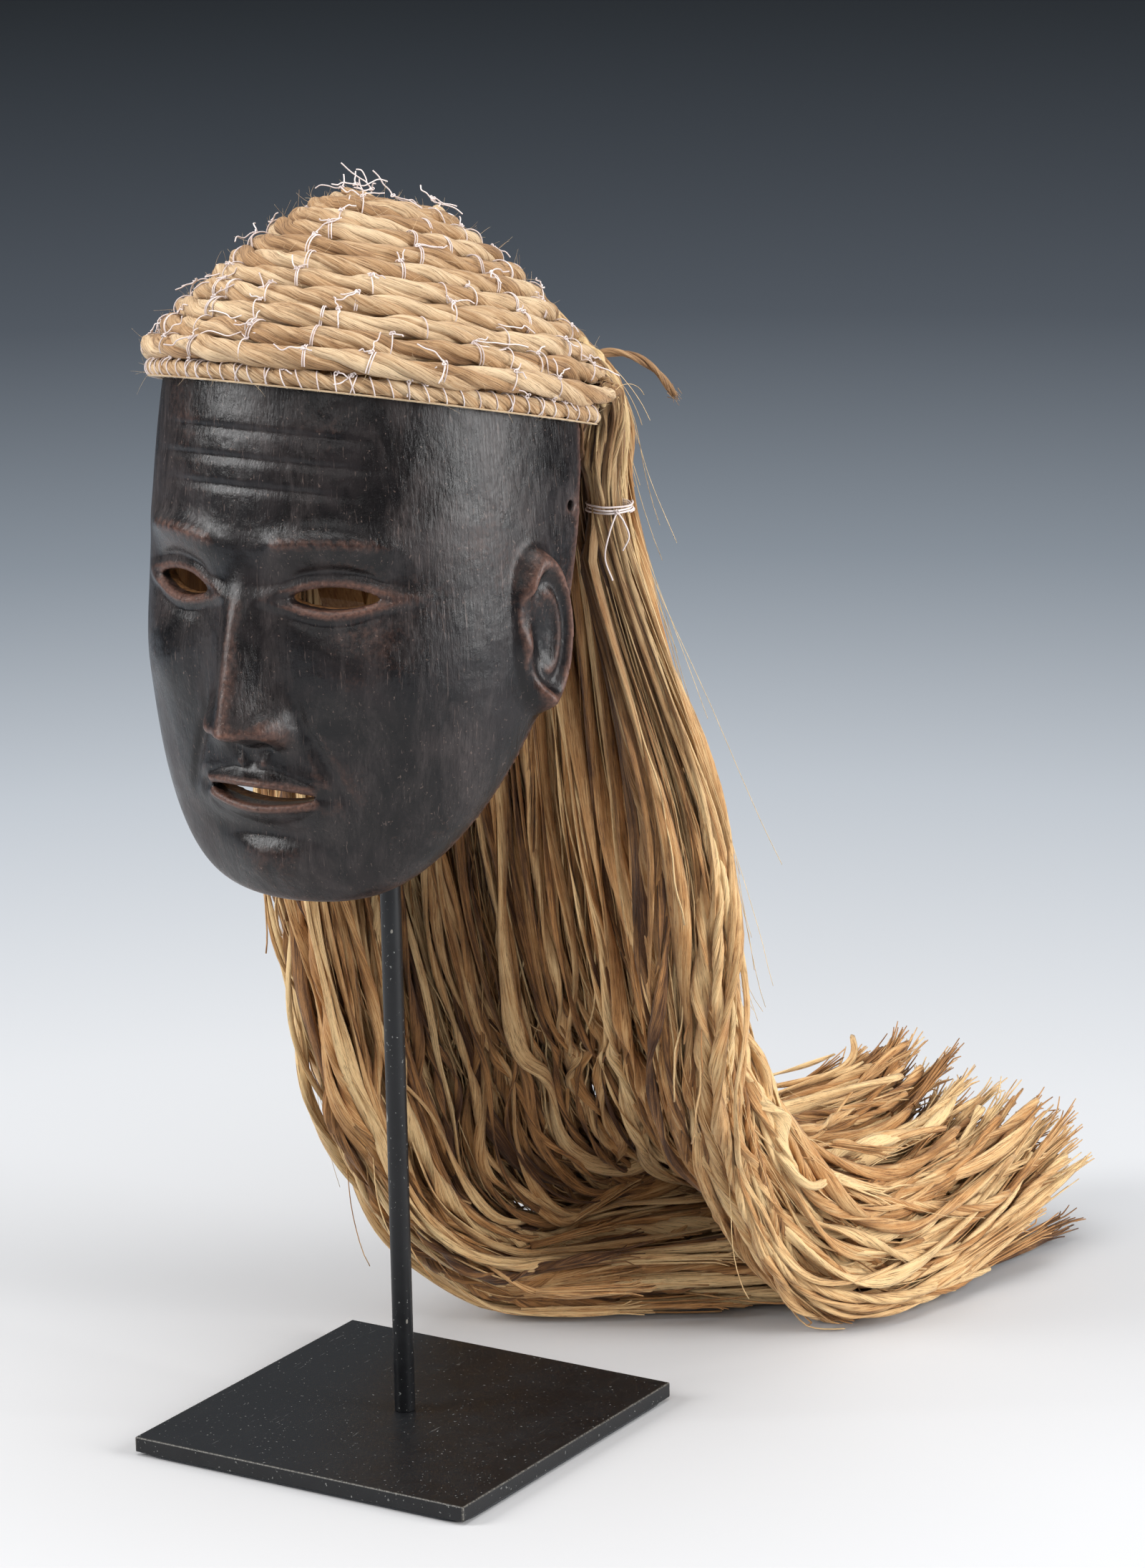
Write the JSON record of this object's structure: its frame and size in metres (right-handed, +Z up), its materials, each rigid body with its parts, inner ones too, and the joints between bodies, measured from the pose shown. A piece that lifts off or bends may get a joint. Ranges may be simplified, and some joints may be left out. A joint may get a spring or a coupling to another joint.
{
  "type": "noh mask on stand",
  "caption": "Black lacquered carved wooden mask with a sewn rope cap and long hemp hair, on a wooden head block, round post and square steel base.",
  "frame": {"origin": "centre of the underside of the felt under the base plate, on the post's axis", "axes": "+Z up along the post, the mask faces -Y, +X is the mask's own left"},
  "size_m": [0.2245, 0.4334, 0.4849],
  "materials": {
    "felt": "dense felt",
    "black_steel": "satin black lacquer, lightly scratched",
    "zinc_steel": "zinc plated",
    "block_wood": "bare planed softwood",
    "brass": "plain",
    "lacquered_wood": "black lacquer worn to a satin, purple brown where it is rubbed thin",
    "straw_rope": "pale twisted hemp rope",
    "hemp_hair": "golden brown raw hemp",
    "white_thread": "white twisted sewing thread"
  },
  "bodies": {
    "stand": {"base_felt": "felt", "base_plate": "black_steel", "post": "black_steel", "post_screw": "zinc_steel"},
    "head_block": {"block_core": "block_wood", "block_board": "block_wood", "block_screws": "brass", "crown_pad": "felt"},
    "mask": {"mask_shell": "lacquered_wood", "rim_cord": "straw_rope", "rim_whipping": "white_thread", "cap_stitches": "white_thread", "cap_crown_coil": "straw_rope", "hair_ties": "white_thread", "cap_rope_1": "straw_rope", "cap_rope_2": "straw_rope", "cap_rope_3": "straw_rope", "cap_rope_4": "straw_rope", "cap_rope_5": "straw_rope", "cap_rope_6": "straw_rope", "cap_rope_7": "straw_rope", "cap_rope_8": "straw_rope", "cap_rope_9": "straw_rope", "cap_rope_10": "straw_rope", "tress_right_1": "hemp_hair", "tress_right_2": "hemp_hair", "tress_right_3": "hemp_hair", "tress_right_4": "hemp_hair", "tress_right_5": "hemp_hair", "tress_right_6": "hemp_hair", "tress_right_7": "hemp_hair", "tress_right_8": "hemp_hair", "tress_right_9": "hemp_hair", "tress_right_10": "hemp_hair", "tress_left_1": "hemp_hair", "tress_left_2": "hemp_hair", "tress_left_3": "hemp_hair", "tress_left_4": "hemp_hair", "tress_left_5": "hemp_hair", "tress_left_6": "hemp_hair", "tress_left_7": "hemp_hair", "tress_left_8": "hemp_hair", "tress_left_9": "hemp_hair", "tress_left_10": "hemp_hair"}
  },
  "joints": [
    {"name": "block_swivel", "type": "hinge", "parent": "stand", "child": "head_block", "pos_m": [0, 0, 0.4], "axis": [0, 0, 1], "continuous": true},
    {"name": "mask_lift", "type": "slide", "parent": "head_block", "child": "mask", "axis": [0, 0, 1], "range_m": [0, 0.24]}
  ]
}
